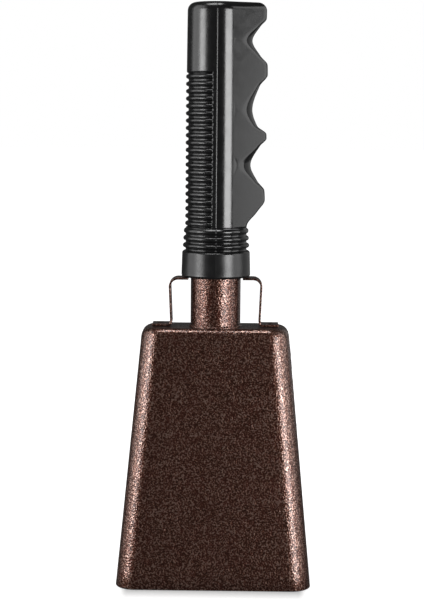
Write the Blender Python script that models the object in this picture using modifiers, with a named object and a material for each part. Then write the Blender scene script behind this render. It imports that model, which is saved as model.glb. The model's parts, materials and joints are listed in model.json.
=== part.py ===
"""Hand-held cowbell: a tapered steel bell, a tube neck between two bent straps, a moulded finger grip
and a clapper that hangs inside on a link.

Metres, +Z up. The origin is the centre of the bell's mouth, and the grip's finger bumps point along +X.
"""

import math

import bmesh
import bpy
import numpy as np
from mathutils import Matrix

# Clearance between neighbours that touch on the real object.
GAP = 0.0003

# Bell: half sizes of the outer skin at the mouth, and where its walls would meet the plane of the top.
BELL_HEIGHT = 0.112
MOUTH_HALF_X = 0.0426
MOUTH_HALF_Y = 0.027
TOP_HALF_X = 0.0324
TOP_HALF_Y = 0.0126
SHEET = 0.001
PLAN_CORNER = 0.0088
SIDE_SHOULDER = 0.0043
FACE_SHOULDER = 0.0032
CORNER_STEPS = 8
SHOULDER_STEPS = 6
SKIRT = 0.003  # how far a skin or a cutter runs past the face that trims it
CUTTER_SIZE = 0.3

# Neck tube and the straps beside it.
NECK_RADIUS = 0.0111
NECK_WALL = 0.0015
NECK_TOP = 0.2480
STRAP_WIDTH = 0.010
STRAP_SHEET = 0.0009
STRAP_TOP = 0.1338
FOOT_END_X = 0.028
LEG_FOOT_X = 0.0200
LEG_TOP_X = 0.0209
ARM_END_X = 0.0120
FOOT_BEND = 0.0013
ARM_BEND = 0.0036

# Grip: overall, the smooth body, the ribs and the collar.
GRIP_BOTTOM = STRAP_TOP + GAP
GRIP_TOP = 0.2553
BORE_TOP = NECK_TOP + GAP
BODY_RADIUS = 0.0136
BODY_TOP_RADIUS = 0.0132
TOP_ROUNDING = 0.0038
RIB_PITCH = 0.003237
LOWEST_RIB = 0.1481
HALF_RIBS = 21
RIB_TIP = 0.0138
RIB_VALLEY = 0.0126
FULL_RIB_TIPS = (0.01475, 0.01455, 0.01435)
FULL_RIBS = len(FULL_RIB_TIPS)
FULL_RIB_VALLEY = 0.0135
RIB_END_X = -0.0016
RIB_RUN_OUT = 0.0006
SMOOTH_TOP_RINGS = 17
COLLAR_TOP = 0.1452
COLLAR_LOW_RADIUS = 0.0153
COLLAR_HIGH_RADIUS = 0.0150
COLLAR_ROUNDING = 0.0012

# Finger side of the grip: a wedge with flat faces and a round nose, scooped for the fingers.
WEDGE_REACH = 0.0226
WEDGE_NOSE = 0.0028
SCOOP_RADIUS = 0.0120
FIN_BOTTOM = 0.1565
FLAT_SCOOP_RADIUS = 0.0720  # the lowest scoop is cut almost straight
FLAT_SCOOP_TOP = FIN_BOTTOM + 0.017
FLAT_SCOOP_BLEND = 0.012
# Height and reach from the grip's axis, from the highest bump down to where the fin runs out.
FINGER_LINE = (
    (0.2517, 0.0217),
    (0.2482, 0.0216),
    (0.2448, 0.0189),
    (0.2384, 0.0154),
    (0.2318, 0.0190),
    (0.2277, 0.0222),
    (0.2236, 0.0223),
    (0.2186, 0.0188),
    (0.2081, 0.0156),
    (0.2010, 0.0178),
    (0.1974, 0.0219),
    (0.1956, 0.0220),
    (0.1921, 0.0191),
    (0.1837, 0.0150),
    (0.1766, 0.0181),
    (0.1723, 0.0213),
    (0.1684, 0.0215),
    (0.1633, 0.0183),
    (0.1565, 0.0136),
)

# Clapper train, from the staple under the top to the striker.
STAPLE_WIRE = 0.0015
STAPLE_HALF_SPAN = 0.006
STAPLE_BAR_Z = 0.102
STAPLE_BEND = 0.0025
LINK_WIRE = 0.00125
LINK_ARC = 0.00305
LINK_STRAIGHT = 0.006
ROD_WIRE = 0.0014
EYE_RADIUS = 0.0030
EYE_NECK_BEND = 0.0020
EYE_END_DEGREES = 215.0
BALL_RADIUS = 0.009
BALL_Z = 0.029
LINK_BOTTOM_Z = STAPLE_BAR_Z - LINK_STRAIGHT - LINK_ARC

TURN_STEPS = 32
WIRE_BEND_STEPS = 8


def clear_scene():
    for obj in list(bpy.data.objects):
        bpy.data.objects.remove(obj, do_unlink=True)


def new_collection(name, hidden=False):
    collection = bpy.data.collections.new(name)
    collection.hide_render = hidden
    bpy.context.scene.collection.children.link(collection)
    return collection


def new_material(name, colour, roughness, metallic):
    material = bpy.data.materials.new(name)
    material.use_nodes = True
    shader = material.node_tree.nodes["Principled BSDF"]
    shader.inputs["Base Color"].default_value = (*colour, 1.0)
    shader.inputs["Roughness"].default_value = roughness
    shader.inputs["Metallic"].default_value = metallic
    return material


def add_object(name, data, collection, material=None):
    obj = bpy.data.objects.new(name, data)
    collection.objects.link(obj)
    if material:
        data.materials.append(material)
    return obj


def shade_round(mesh, sharp_degrees=40.0):
    mesh.shade_smooth()
    mesh.set_sharp_from_angle(angle=math.radians(sharp_degrees))


def loft(name, rings, close_start):
    """A skin through rings of equal point counts, closed by a face at the last ring."""
    form = bmesh.new()
    loops = [[form.verts.new(point) for point in ring] for ring in rings]
    for lower, upper in zip(loops, loops[1:]):
        for index in range(len(lower)):
            following = (index + 1) % len(lower)
            form.faces.new((lower[index], lower[following], upper[following], upper[index]))
    form.faces.new(loops[-1])
    if close_start:
        form.faces.new(list(reversed(loops[0])))
    bmesh.ops.recalc_face_normals(form, faces=form.faces)
    mesh = bpy.data.meshes.new(name)
    form.to_mesh(mesh)
    form.free()
    shade_round(mesh)
    return mesh


def turned(name, profile, collection, material, steps=TURN_STEPS):
    """A profile in the XZ plane turned about Z. The profile runs down its outer side."""
    mesh = bpy.data.meshes.new(name)
    edges = [(i, i + 1) for i in range(len(profile) - 1)]
    mesh.from_pydata([(x, 0.0, z) for x, z in profile], edges, [])
    obj = add_object(name, mesh, collection, material)
    screw = obj.modifiers.new("turn", "SCREW")
    screw.axis = "Z"
    screw.angle = math.tau
    screw.steps = steps
    screw.render_steps = steps
    screw.use_merge_vertices = True
    screw.merge_threshold = 0.00001
    screw.use_smooth_shade = True
    return obj


def wire(name, points, radius, collection, material, closed=False):
    """A round wire along the given points."""
    curve = bpy.data.curves.new(name, "CURVE")
    curve.dimensions = "3D"
    curve.bevel_depth = radius
    curve.bevel_resolution = 2
    curve.use_fill_caps = not closed
    spline = curve.splines.new("POLY")
    spline.points.add(len(points) - 1)
    for spline_point, point in zip(spline.points, points):
        spline_point.co = (*point, 1.0)
    spline.use_cyclic_u = closed
    return add_object(name, curve, collection, material)


def box_cutter(name, low, high, collection):
    mesh = bpy.data.meshes.new(name)
    form = bmesh.new()
    size = [top - bottom for top, bottom in zip(high, low)]
    centre = [(top + bottom) / 2 for top, bottom in zip(high, low)]
    place = Matrix.Translation(centre) @ Matrix.Diagonal((*size, 1.0))
    bmesh.ops.create_cube(form, size=1.0, matrix=place)
    form.to_mesh(mesh)
    form.free()
    return as_cutter(add_object(name, mesh, collection))


def as_cutter(obj):
    obj.hide_render = True
    obj.display_type = "WIRE"
    return obj


def cut(obj, cutter):
    boolean = obj.modifiers.new(cutter.name, "BOOLEAN")
    boolean.operation = "DIFFERENCE"
    boolean.object = cutter


def arc(centre, radius, start_degrees, end_degrees, steps):
    """Points of an arc in a plane, both ends included."""
    angles = np.radians(np.linspace(start_degrees, end_degrees, steps + 1))
    return [(centre[0] + radius * math.cos(a), centre[1] + radius * math.sin(a)) for a in angles]


def filleted(corners, radii, steps):
    """A path through corners in a plane, each inner corner rounded to its radius."""
    path = [corners[0]]
    for before, corner, after, radius in zip(corners, corners[1:], corners[2:], radii):
        to_before = np.subtract(before, corner) / math.dist(before, corner)
        to_after = np.subtract(after, corner) / math.dist(after, corner)
        half_angle = math.acos(np.dot(to_before, to_after)) / 2
        bisector = (to_before + to_after) / np.linalg.norm(to_before + to_after)
        centre = np.add(corner, bisector * radius / math.sin(half_angle))
        start = np.add(corner, to_before * radius / math.tan(half_angle)) - centre
        end = np.add(corner, to_after * radius / math.tan(half_angle)) - centre
        start_angle = math.atan2(start[1], start[0])
        sweep = math.atan2(end[1], end[0]) - start_angle
        sweep = (sweep + math.pi) % math.tau - math.pi
        degrees = math.degrees(start_angle)
        path += arc(centre, radius, degrees, degrees + math.degrees(sweep), steps)
    path.append(corners[-1])
    return path


def half_width(z, mouth_half, top_half, shoulder):
    """Half the bell's width at a height: a leaning wall, rounded over into the flat top."""
    slope = (mouth_half - top_half) / BELL_HEIGHT
    lean = math.atan(slope)
    centre_z = BELL_HEIGHT - shoulder
    tangent_z = centre_z + shoulder * math.sin(lean)
    if z <= tangent_z:
        return mouth_half - slope * z
    centre_x = mouth_half - slope * tangent_z - shoulder * math.cos(lean)
    return centre_x + math.sqrt(max(0.0, shoulder**2 - (z - centre_z) ** 2))


def bell_ring(z):
    """The bell's rounded rectangular outline at a height."""
    half_x = half_width(z, MOUTH_HALF_X, TOP_HALF_X, SIDE_SHOULDER)
    half_y = half_width(z, MOUTH_HALF_Y, TOP_HALF_Y, FACE_SHOULDER)
    leaning_x = MOUTH_HALF_X - (MOUTH_HALF_X - TOP_HALF_X) * z / BELL_HEIGHT
    leaning_y = MOUTH_HALF_Y - (MOUTH_HALF_Y - TOP_HALF_Y) * z / BELL_HEIGHT
    corner = PLAN_CORNER - (leaning_x - half_x + leaning_y - half_y) / 2
    ring = []
    for side_x, side_y, start in ((1, 1, 0), (-1, 1, 90), (-1, -1, 180), (1, -1, 270)):
        centre = (side_x * (half_x - corner), side_y * (half_y - corner))
        ring += [(x, y, z) for x, y in arc(centre, corner, start, start + 90, CORNER_STEPS)]
    return ring


def make_bell_halves(parts, cutters, paint):
    """The two pressed halves of the bell, which meet in the plane through the straps."""
    far = CUTTER_SIZE / 2
    below = box_cutter("mouth_cutter", (-far, -far, -far), (far, far, 0.0), cutters)
    behind = box_cutter("rear_half_cutter", (-far, -GAP / 2, -far), (far, far, far), cutters)
    ahead = box_cutter("front_half_cutter", (-far, -far, -far), (far, GAP / 2, far), cutters)
    shoulder_angles = np.radians(np.linspace(5, 90, SHOULDER_STEPS + 1))
    shoulder_base = BELL_HEIGHT - SIDE_SHOULDER
    heights = [-SKIRT] + [shoulder_base + SIDE_SHOULDER * math.sin(a) for a in shoulder_angles]
    for name, other_half in (("front_shell", behind), ("rear_shell", ahead)):
        skin = loft(name, [bell_ring(z) for z in heights], close_start=False)
        shell = add_object(name, skin, parts, paint)
        sheet = shell.modifiers.new("sheet", "SOLIDIFY")
        sheet.thickness = SHEET
        sheet.offset = -1.0
        sheet.use_even_offset = True
        cut(shell, below)
        cut(shell, other_half)


def make_neck_tube(parts, paint):
    outer = NECK_RADIUS
    inner = NECK_RADIUS - NECK_WALL
    foot = BELL_HEIGHT + GAP
    profile = [(outer, NECK_TOP), (outer, foot), (inner, foot), (inner, NECK_TOP), (outer, NECK_TOP)]
    turned("neck_tube", profile, parts, paint)


def make_strap(name, side, parts, paint):
    """A bent strip: an outward foot on the bell's top, a leg, and an arm under the grip."""
    foot_z = BELL_HEIGHT + GAP + STRAP_SHEET / 2
    arm_z = STRAP_TOP - STRAP_SHEET / 2
    corners = [
        (side * FOOT_END_X, foot_z),
        (side * (LEG_FOOT_X - STRAP_SHEET / 2), foot_z),
        (side * (LEG_TOP_X - STRAP_SHEET / 2), arm_z),
        (side * ARM_END_X, arm_z),
    ]
    path = filleted(corners, (FOOT_BEND, ARM_BEND), WIRE_BEND_STEPS)
    form = bmesh.new()
    front = [form.verts.new((x, -STRAP_WIDTH / 2, z)) for x, z in path]
    back = [form.verts.new((x, STRAP_WIDTH / 2, z)) for x, z in path]
    for index in range(len(path) - 1):
        form.faces.new((front[index], front[index + 1], back[index + 1], back[index]))
    mesh = bpy.data.meshes.new(name)
    form.to_mesh(mesh)
    form.free()
    shade_round(mesh)
    strap = add_object(name, mesh, parts, paint)
    sheet = strap.modifiers.new("sheet", "SOLIDIFY")
    sheet.thickness = STRAP_SHEET
    sheet.offset = 0.0
    sheet.use_even_offset = True


def finger_reach(z):
    """How far the finger side reaches from the axis at a height, on a smooth line through FINGER_LINE."""
    heights = np.array([point[0] for point in FINGER_LINE])[::-1]
    reaches = np.array([point[1] for point in FINGER_LINE])[::-1]
    z = min(max(z, heights[0]), heights[-1])
    slopes = np.diff(reaches) / np.diff(heights)
    tangents = np.zeros(len(heights))
    for index in range(1, len(heights) - 1):
        before, after = slopes[index - 1], slopes[index]
        if before * after > 0:
            tangents[index] = 2 * before * after / (before + after)
    span = max(0, min(int(np.searchsorted(heights, z)) - 1, len(heights) - 2))
    width = heights[span + 1] - heights[span]
    t = (z - heights[span]) / width
    start = (2 * t**3 - 3 * t**2 + 1) * reaches[span] + (t**3 - 2 * t**2 + t) * width * tangents[span]
    end = (3 * t**2 - 2 * t**3) * reaches[span + 1] + (t**3 - t**2) * width * tangents[span + 1]
    return float(start + end)


def wedge_radius(angle, radius):
    """Distance from the axis to the wedge's outline: two flat faces from the body to the round nose."""
    angle = abs(angle)
    nose_x = WEDGE_REACH - WEDGE_NOSE
    tangent = math.acos((radius - WEDGE_NOSE) / nose_x)
    if angle >= tangent:
        return radius
    nose_tangent_x = nose_x + WEDGE_NOSE * math.cos(tangent)
    nose_tangent_y = WEDGE_NOSE * math.sin(tangent)
    if angle > math.atan2(nose_tangent_y, nose_tangent_x):
        return radius / math.cos(angle - tangent)
    return ray_to_circle(angle, nose_x, WEDGE_NOSE)


def ray_to_circle(angle, centre_x, radius):
    return centre_x * math.cos(angle) + math.sqrt(max(0.0, radius**2 - (centre_x * math.sin(angle)) ** 2))


def body_radius(z):
    """The smooth round body, slightly slimmer towards its top."""
    rise = min(max((z - FIN_BOTTOM) / (GRIP_TOP - FIN_BOTTOM), 0.0), 1.0)
    return BODY_RADIUS + (BODY_TOP_RADIUS - BODY_RADIUS) * rise**3


def smooth_radius(angle, z):
    """The grip without its ribs: body, wedge and finger scoops."""
    round_body = body_radius(z)
    wedge = wedge_radius(angle, round_body)
    if abs(angle) >= math.pi / 2:
        return wedge
    blend = min(max((FLAT_SCOOP_TOP - z) / FLAT_SCOOP_BLEND, 0.0), 1.0)
    scoop_radius = SCOOP_RADIUS + (FLAT_SCOOP_RADIUS - SCOOP_RADIUS) * blend * blend * (3 - 2 * blend)
    scoop = ray_to_circle(angle, finger_reach(z) - scoop_radius, scoop_radius)
    return max(round_body, min(wedge, scoop))


def grip_rows():
    """Heights of the grip's rings, each with the radius of its ribbed side and of its whole round."""
    rows = [
        (GRIP_BOTTOM, None, COLLAR_LOW_RADIUS - COLLAR_ROUNDING),
        (GRIP_BOTTOM + COLLAR_ROUNDING * 0.3, None, COLLAR_LOW_RADIUS - COLLAR_ROUNDING * 0.3),
        (GRIP_BOTTOM + COLLAR_ROUNDING, None, COLLAR_LOW_RADIUS),
        (COLLAR_TOP - COLLAR_ROUNDING / 2, None, COLLAR_HIGH_RADIUS),
        (COLLAR_TOP, None, COLLAR_HIGH_RADIUS - COLLAR_ROUNDING / 2),
    ]
    for index, tip in enumerate(FULL_RIB_TIPS):
        tip_z = LOWEST_RIB + index * RIB_PITCH
        rows.append((tip_z - RIB_PITCH / 2, None, FULL_RIB_VALLEY))
        rows.append((tip_z, None, tip))
    last_valley = LOWEST_RIB + (FULL_RIBS - 0.5) * RIB_PITCH
    rows.append((last_valley, None, FULL_RIB_VALLEY))
    rows.append((FIN_BOTTOM, RIB_VALLEY, None))
    for index in range(FULL_RIBS, FULL_RIBS + HALF_RIBS):
        tip_z = LOWEST_RIB + index * RIB_PITCH
        rows.append((tip_z, RIB_TIP, None))
        rows.append((tip_z + RIB_PITCH / 2, RIB_VALLEY, None))
    ribs_top = rows[-1][0]
    rounding_base = GRIP_TOP - TOP_ROUNDING
    for z in np.linspace(ribs_top + RIB_RUN_OUT, rounding_base, SMOOTH_TOP_RINGS):
        rows.append((float(z), None, None))
    for degrees in (30, 60, 90):
        z = rounding_base + TOP_ROUNDING * math.sin(math.radians(degrees))
        rows.append((z, None, None))
    return rows


def grip_ring(z, rib_radius, round_radius):
    """One ring of the grip. The ribs stop just short of the plane between its two sides."""
    into_top = max(0.0, z - (GRIP_TOP - TOP_ROUNDING))
    inset = TOP_ROUNDING - math.sqrt(max(0.0, TOP_ROUNDING**2 - into_top**2))
    rib_end = math.degrees(math.acos(RIB_END_X / BODY_RADIUS))
    smooth_angles = [0, 6, 12, 18, 24, 31, 38, 46, 56, 68, 82, rib_end]
    ribbed_angles = [rib_end + 2, 116, 132, 148, 164, 180]
    half = []
    for degrees in smooth_angles + ribbed_angles:
        angle = math.radians(degrees)
        if round_radius:
            radius = round_radius
        elif rib_radius and degrees > rib_end:
            radius = rib_radius
        else:
            radius = smooth_radius(angle, z) - inset
        half.append((radius * math.cos(angle), radius * math.sin(angle), z))
    return half + [(x, -y, z_value) for x, y, z_value in half[-2:0:-1]]


def make_grip(parts, cutters, vinyl):
    rings = [grip_ring(*row) for row in grip_rows()]
    grip = add_object("handle_grip", loft("handle_grip", rings, close_start=True), parts, vinyl)
    bore_radius = NECK_RADIUS + GAP
    bore_bottom = GRIP_BOTTOM - SKIRT
    profile = [(0.0, BORE_TOP), (bore_radius, BORE_TOP), (bore_radius, bore_bottom), (0.0, bore_bottom)]
    cut(grip, as_cutter(turned("bore_cutter", profile, cutters, None)))


def make_staple(parts, steel):
    """A wire staple under the bell's top, with its bar along X."""
    foot_z = BELL_HEIGHT - SHEET - GAP
    corners = [
        (-STAPLE_HALF_SPAN, foot_z),
        (-STAPLE_HALF_SPAN, STAPLE_BAR_Z),
        (STAPLE_HALF_SPAN, STAPLE_BAR_Z),
        (STAPLE_HALF_SPAN, foot_z),
    ]
    path = filleted(corners, (STAPLE_BEND, STAPLE_BEND), WIRE_BEND_STEPS)
    wire("clapper_staple", [(x, 0.0, z) for x, z in path], STAPLE_WIRE, parts, steel)


def make_link(parts, steel):
    """A closed link in the YZ plane, hanging on the staple's bar. Its origin is on the bar's axis."""
    upper = arc((0.0, 0.0), LINK_ARC, 0, 180, 2 * WIRE_BEND_STEPS)
    lower = arc((0.0, -LINK_STRAIGHT), LINK_ARC, 180, 360, 2 * WIRE_BEND_STEPS)
    path = [(0.0, y, z) for y, z in upper + lower]
    link = wire("clapper_link", path, LINK_WIRE, parts, steel, closed=True)
    link.location = (0.0, 0.0, STAPLE_BAR_Z)


def make_rod(parts, steel):
    """A wire rod whose open eye goes round the foot of the link. Its origin is on the eye's pivot."""
    rod_foot = BALL_Z + GAP - LINK_BOTTOM_Z
    drop = math.sqrt(EYE_RADIUS**2 + 2 * EYE_NECK_BEND * EYE_RADIUS)
    neck_centre = (EYE_NECK_BEND, -drop)
    meeting_degrees = math.degrees(math.atan2(-drop, EYE_NECK_BEND))
    neck = arc(neck_centre, EYE_NECK_BEND, 180, 180 + meeting_degrees, 4)
    eye = arc((0.0, 0.0), EYE_RADIUS, meeting_degrees, EYE_END_DEGREES, 3 * WIRE_BEND_STEPS)
    path = [(0.0, rod_foot)] + neck + eye[1:]
    rod = wire("clapper_rod", [(x, 0.0, z) for x, z in path], ROD_WIRE, parts, steel)
    rod.location = (0.0, 0.0, LINK_BOTTOM_Z)


def make_ball(parts, steel):
    """The striker: a ball with a blind hole for the rod."""
    hole_radius = ROD_WIRE + GAP
    hole_degrees = math.degrees(math.acos(hole_radius / BALL_RADIUS))
    profile = [(0.0, BALL_Z), (hole_radius, BALL_Z)]
    profile += arc((0.0, BALL_Z), BALL_RADIUS, hole_degrees, -90, 14)
    profile[-1] = (0.0, BALL_Z - BALL_RADIUS)
    turned("clapper_ball", profile, parts, steel, steps=28)


def main():
    clear_scene()
    parts = new_collection("cowbell")
    cutters = new_collection("cowbell_cutters", hidden=True)
    paint = new_material("hammertone_paint", (0.055, 0.026, 0.020), 0.38, 0.55)
    neck_paint = new_material("neck_paint", (0.060, 0.028, 0.021), 0.38, 0.55)
    strap_paint = new_material("strap_paint", (0.050, 0.026, 0.022), 0.40, 0.55)
    vinyl = new_material("black_vinyl", (0.012, 0.012, 0.013), 0.22, 0.0)
    wire_steel = new_material("zinc_wire", (0.55, 0.56, 0.57), 0.32, 1.0)
    ball_steel = new_material("bright_ball", (0.62, 0.62, 0.61), 0.22, 1.0)
    make_bell_halves(parts, cutters, paint)
    make_neck_tube(parts, neck_paint)
    make_strap("left_strap", -1, parts, strap_paint)
    make_strap("right_strap", 1, parts, strap_paint)
    make_grip(parts, cutters, vinyl)
    make_staple(parts, wire_steel)
    make_link(parts, wire_steel)
    make_rod(parts, wire_steel)
    make_ball(parts, ball_steel)


main()
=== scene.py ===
"""The looks of a hand-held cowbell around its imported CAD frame: hammertone-painted steel, a glossy black
vinyl finger grip and a plated clapper, on a pale studio floor. Metres, +Z up."""

import json
import math

import bmesh
import bpy
import numpy as np
from mathutils import Matrix, Vector, noise


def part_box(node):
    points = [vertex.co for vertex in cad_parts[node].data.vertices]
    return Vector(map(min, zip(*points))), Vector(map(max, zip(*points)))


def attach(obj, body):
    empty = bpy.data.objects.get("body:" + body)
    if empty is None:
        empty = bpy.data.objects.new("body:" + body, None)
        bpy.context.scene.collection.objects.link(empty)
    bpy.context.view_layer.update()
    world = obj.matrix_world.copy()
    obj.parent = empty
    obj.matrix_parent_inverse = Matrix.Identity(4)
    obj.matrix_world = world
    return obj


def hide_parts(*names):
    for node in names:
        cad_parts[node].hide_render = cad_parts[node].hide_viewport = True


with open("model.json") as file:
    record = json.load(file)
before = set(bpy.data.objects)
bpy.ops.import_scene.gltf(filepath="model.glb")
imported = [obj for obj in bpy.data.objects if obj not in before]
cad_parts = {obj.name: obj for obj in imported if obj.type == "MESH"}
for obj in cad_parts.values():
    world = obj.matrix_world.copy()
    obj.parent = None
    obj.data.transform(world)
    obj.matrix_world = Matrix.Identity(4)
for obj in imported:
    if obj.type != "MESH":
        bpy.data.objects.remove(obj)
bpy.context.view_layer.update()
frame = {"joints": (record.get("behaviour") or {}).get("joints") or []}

MM = 0.001

# Places and sizes that come from the CAD.
SHELL_LOW, SHELL_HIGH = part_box("front_shell")
NECK_LOW, NECK_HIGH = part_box("neck_tube")
GRIP_LOW, GRIP_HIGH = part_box("handle_grip")
STRAP_LOW, STRAP_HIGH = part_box("right_strap")
STAPLE_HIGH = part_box("clapper_staple")[1]
ROD_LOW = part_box("clapper_rod")[0]
BALL_LOW, BALL_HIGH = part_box("clapper_ball")
BELL_TOP = SHELL_HIGH[2]
MOUTH_HALF_X = SHELL_HIGH[0]
MOUTH_HALF_Y = -SHELL_LOW[1]
NECK_RADIUS = NECK_HIGH[0]
JOINTS = {joint["name"]: Vector(joint["pos_m"]) for joint in frame["joints"]}
LINK_PIVOT = JOINTS["link_swing"]
CLAPPER_PIVOT = JOINTS["clapper_swing"]

# Bell skin, as in the CAD: where the leaning walls would meet the top, sheet and corner sizes.
TOP_HALF_X = 32.4 * MM
TOP_HALF_Y = 12.6 * MM
SHEET = 1.0 * MM
PLAN_CORNER = 8.8 * MM
SIDE_SHOULDER = 4.3 * MM
FACE_SHOULDER = 3.2 * MM
WALL_LEAN = (MOUTH_HALF_X - TOP_HALF_X) / BELL_TOP

# Neck and straps, as in the CAD.
NECK_WALL = 1.5 * MM
STRAP_SHEET = 0.9 * MM
LEG_FOOT_X = 20.0 * MM
LEG_TOP_X = 20.9 * MM
FOOT_BEND = 1.3 * MM
ARM_BEND = 3.6 * MM

# Grip, as in the CAD, with finer ribs. The lowest scoop of the finger side is almost flat.
BODY_RADIUS = 13.6 * MM
BODY_TOP_RADIUS = 13.2 * MM
TOP_ROUNDING = 3.8 * MM
RIB_PITCH = 3.237 * MM
LOWEST_RIB = 148.1 * MM
FULL_RIBS = 3
HALF_RIBS = 21
RIB_TIP = 13.8 * MM
RIB_VALLEY = 12.6 * MM
RIB_HALF_WIDTH = 1.15 * MM
FULL_RIB_TIPS = (14.75 * MM, 14.55 * MM, 14.35 * MM)
FULL_RIB_VALLEY = 13.5 * MM
RIB_END_X = -1.6 * MM
COLLAR_TOP = 145.2 * MM
COLLAR_LOW_RADIUS = 15.3 * MM
COLLAR_HIGH_RADIUS = 15.0 * MM
COLLAR_ROUNDING = 1.2 * MM
FIN_BOTTOM = 156.5 * MM
WEDGE_REACH = 22.6 * MM
WEDGE_NOSE = 2.8 * MM
SCOOP_RADIUS = 12.0 * MM
FLAT_SCOOP_RADIUS = 72.0 * MM
FLAT_SCOOP_TOP = FIN_BOTTOM + 17.0 * MM
FLAT_SCOOP_BLEND = 12.0 * MM
# Height and reach in millimetres along the finger side, from the highest bump down.
FINGER_LINE = (
    (251.7, 21.7),
    (248.2, 21.6),
    (244.8, 18.9),
    (238.4, 15.4),
    (231.8, 19.0),
    (227.7, 22.2),
    (223.6, 22.3),
    (218.6, 18.8),
    (208.1, 15.6),
    (201.0, 17.8),
    (197.4, 21.9),
    (195.6, 22.0),
    (192.1, 19.1),
    (183.7, 15.0),
    (176.6, 18.1),
    (172.3, 21.3),
    (168.4, 21.5),
    (163.3, 18.3),
    (156.5, 13.6),
)

# Clapper train, as in the CAD.
STAPLE_WIRE = 1.5 * MM
STAPLE_BEND = 2.5 * MM
LINK_WIRE = 1.25 * MM
LINK_ARC = 3.05 * MM
ROD_WIRE = 1.4 * MM
EYE_RADIUS = 3.0 * MM
EYE_NECK_BEND = 2.0 * MM
EYE_END_DEGREES = 215.0

# Small gaps, edges and marks, finer than in the CAD.
SEAM_GAP = 0.05 * MM
BORE_RADIUS = NECK_RADIUS + 0.15 * MM
RIM_ROUNDING = 0.30 * MM
NECK_CHAMFER = 0.3 * MM
STRAP_EDGE = 0.22 * MM
SPOT_WELD_X = 24.4 * MM
SPOT_WELD_Y = 2.4 * MM
SCOOP_EDGE_BLEND = 0.45 * MM
TOP_CROWN = 0.15 * MM
PARTING_HEIGHT = 0.10 * MM
PARTING_HALF_WIDTH = 0.22 * MM

# Studio.
CAMERA_PLACE = (9.5 * MM, -700.0 * MM, 207.3 * MM)
AIM = (-1.9 * MM, 0.0, 163.6 * MM)
LENS = 94.86
SHIFT = -0.15
ROLL_DEGREES = 0.435
# The contact shadow painted into the table lies under the bell's front half, and fades out faster sideways
# than forwards.
SHADOW_CENTRE_Y = -MOUTH_HALF_Y / 2
SHADOW_HALF_SIZE = (MOUTH_HALF_X - 6 * MM, MOUTH_HALF_Y / 2 - 4 * MM, 0.0)
SHADOW_STRETCH = (4.0, 1.0, 0.0)
SHADOW_NEAR = 4 * MM
SHADOW_FAR = 24 * MM
TABLE_RADIUS = 0.30
TABLE_DROP = 0.1 * MM
SWEEP_SIZE = 16.0
SWEEP_DROP = 0.6 * MM
# Light panels: name, azimuth in degrees, distance, height of the centre, width, height and radiance.
PANELS = (
    ("right_box", 44.0, 1.40, 0.16, 0.65, 0.56, 12.5),
    ("right_wing", 80.0, 0.75, 0.40, 0.40, 0.80, 2.4),
    ("left_core", -57.0, 1.50, 0.27, 0.62, 0.40, 10.3),
    ("left_halo", -80.0, 0.74, 0.51, 0.75, 1.00, 2.1),
    ("right_back", 130.0, 0.80, 0.40, 0.80, 0.80, 0.35),
)
TOP_PANEL = ("top_box", 0.0, 0.20, 1.20, 0.60, 0.36, 9.0)
TOP_PANEL_X = -0.12


# ---------------------------------------------------------------- meshes


def mesh_piece(name, vertices, faces, smooth_degrees=35.0):
    """A smooth-shaded mesh object, with edges sharper than the angle kept crisp."""
    mesh = bpy.data.meshes.new(name)
    mesh.from_pydata([tuple(v) for v in vertices], [], faces)
    mesh.update()
    form = bmesh.new()
    form.from_mesh(mesh)
    bmesh.ops.remove_doubles(form, verts=form.verts, dist=0.001 * MM)
    bmesh.ops.recalc_face_normals(form, faces=form.faces)
    form.to_mesh(mesh)
    form.free()
    mesh.shade_smooth()
    mesh.set_sharp_from_angle(angle=math.radians(smooth_degrees))
    obj = bpy.data.objects.new(name, mesh)
    bpy.context.scene.collection.objects.link(obj)
    return obj


def lofted(name, rings, closed_ends=True, smooth_degrees=35.0):
    """A skin through closed rings of equal point counts."""
    rings = [np.asarray(ring) for ring in rings]
    count = len(rings[0])
    vertices = np.concatenate(rings)
    faces = []
    for row in range(len(rings) - 1):
        base, above = row * count, (row + 1) * count
        for column in range(count):
            following = (column + 1) % count
            faces.append((base + column, base + following, above + following, above + column))
    if closed_ends:
        faces.append(tuple(range(count - 1, -1, -1)))
        faces.append(tuple(range(len(vertices) - count, len(vertices))))
    return mesh_piece(name, vertices, faces, smooth_degrees)


def arc(centre, radius, start_degrees, end_degrees, steps):
    """Points of an arc in a plane, both ends included."""
    angles = np.radians(np.linspace(start_degrees, end_degrees, steps + 1))
    return [(centre[0] + radius * math.cos(a), centre[1] + radius * math.sin(a)) for a in angles]


def filleted(corners, radii, steps):
    """A path through corners in a plane, each inner corner rounded to its radius."""
    path = [corners[0]]
    for before, corner, after, radius in zip(corners, corners[1:], corners[2:], radii):
        to_before = np.subtract(before, corner) / math.dist(before, corner)
        to_after = np.subtract(after, corner) / math.dist(after, corner)
        half_angle = math.acos(np.dot(to_before, to_after)) / 2
        bisector = (to_before + to_after) / np.linalg.norm(to_before + to_after)
        centre = np.add(corner, bisector * radius / math.sin(half_angle))
        start = np.add(corner, to_before * radius / math.tan(half_angle)) - centre
        end = np.add(corner, to_after * radius / math.tan(half_angle)) - centre
        start_angle = math.atan2(start[1], start[0])
        sweep = math.atan2(end[1], end[0]) - start_angle
        sweep = (sweep + math.pi) % math.tau - math.pi
        degrees = math.degrees(start_angle)
        path += arc(centre, radius, degrees, degrees + math.degrees(sweep), steps)
    path.append(corners[-1])
    return path


def turned(name, profile, centre=(0.0, 0.0), steps=96):
    """A profile of (radius, z) turned about a vertical axis. Points on the axis become one point."""
    rings = []
    for radius, z in profile:
        angles = np.linspace(0, math.tau, steps, endpoint=False)
        ring = [(centre[0] + radius * math.cos(a), centre[1] + radius * math.sin(a), z) for a in angles]
        rings.append(ring)
    return lofted(name, rings, closed_ends=False)


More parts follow.
